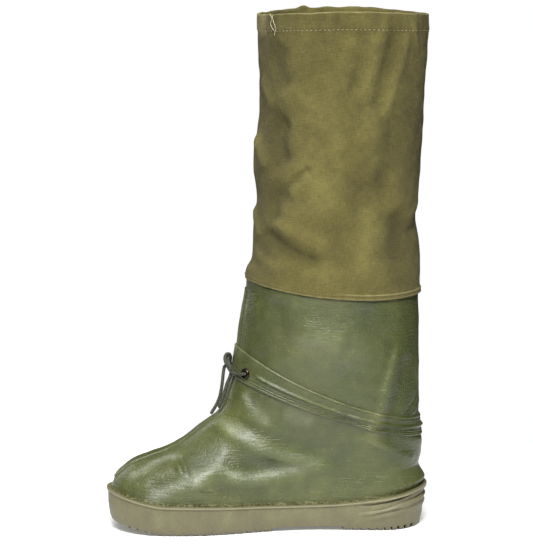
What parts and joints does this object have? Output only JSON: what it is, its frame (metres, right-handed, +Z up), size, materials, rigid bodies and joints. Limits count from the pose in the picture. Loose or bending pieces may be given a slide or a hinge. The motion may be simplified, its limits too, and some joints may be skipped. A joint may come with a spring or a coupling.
{
  "type": "winter overshoe",
  "caption": "Tall winter overshoe with a moulded rubber cup sole, a rubberised foot, a laced ankle tunnel and a loose canvas shaft with a drawcord hem.",
  "frame": {"origin": "on the floor, at the middle of the sole's length and width", "axes": "+X towards the heel (the toe points to -X), +Y towards the outer side of the foot, +Z up"},
  "size_m": [0.3303, 0.1456, 0.5288],
  "materials": {
    "outsole": "matt khaki-grey moulded rubber",
    "insole": "felt",
    "upper": "semi-gloss rubberised fabric",
    "canvas_shaft": "matt cotton canvas",
    "eyelet": "blackened metal",
    "lace": "braided cord",
    "drawcord": "braided cord",
    "cord_lock": "satin black"
  },
  "bodies": {
    "root": {"outsole": "outsole", "insole": "insole", "upper": "upper", "front_seam_tape": "upper", "ankle_band": "upper", "canvas_shaft": "canvas_shaft", "eyelet_medial": "eyelet", "eyelet_lateral": "eyelet", "lace_bar_medial": "lace", "lace_bar_lateral": "lace", "lace_knot": "lace", "lace_end_long": "lace", "lace_end_short": "lace", "drawcord_front": "drawcord", "drawcord_rear": "drawcord", "cord_lock_barrel": "cord_lock", "cord_lock_plunger": "cord_lock"}
  },
  "joints": []
}
